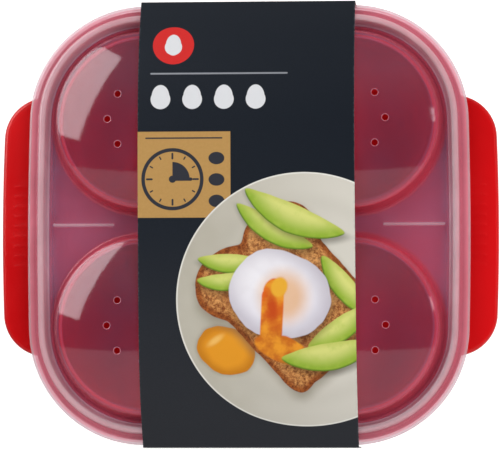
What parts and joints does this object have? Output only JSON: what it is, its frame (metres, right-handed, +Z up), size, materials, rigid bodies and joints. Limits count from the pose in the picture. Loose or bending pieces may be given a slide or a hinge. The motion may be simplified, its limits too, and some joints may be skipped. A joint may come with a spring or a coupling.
{
  "type": "microwave egg poacher",
  "caption": "Square microwave egg poacher: red base with side handles, lift-out cup tray, frosted domed lid with steam holes and a card sleeve.",
  "frame": {"origin": "centre of the foot ring's footprint, on the surface that the base stands on", "axes": "+X from the left handle to the right handle, +Y from front to back, +Z up"},
  "size_m": [0.21, 0.1888, 0.0569],
  "materials": {
    "red_plastic": "glossy moulded polypropylene",
    "tray_plastic": "satin moulded polypropylene",
    "frosted_plastic": "frosted natural polypropylene",
    "printed_card": "satin printed card"
  },
  "bodies": {
    "base": {"base": "red_plastic"},
    "cup_tray": {"tray_deck": "tray_plastic", "egg_cup_front_left": "tray_plastic", "egg_cup_front_right": "tray_plastic", "egg_cup_back_left": "tray_plastic", "egg_cup_back_right": "tray_plastic"},
    "lid": {"lid_frame": "frosted_plastic", "dome_front_left": "frosted_plastic", "dome_front_right": "frosted_plastic", "dome_back_left": "frosted_plastic", "dome_back_right": "frosted_plastic"},
    "card_sleeve": {"card_sleeve": "printed_card"}
  },
  "joints": [
    {"name": "tray_lift", "type": "slide", "parent": "base", "child": "cup_tray", "axis": [0, 0, 1], "range_m": [0, 0.08]},
    {"name": "lid_lift", "type": "slide", "parent": "cup_tray", "child": "lid", "axis": [0, 0, 1], "range_m": [0, 0.08]},
    {"name": "sleeve_slide", "type": "slide", "parent": "lid", "child": "card_sleeve", "axis": [1, 0, 0], "range_m": [-0.16, 0.16]}
  ]
}
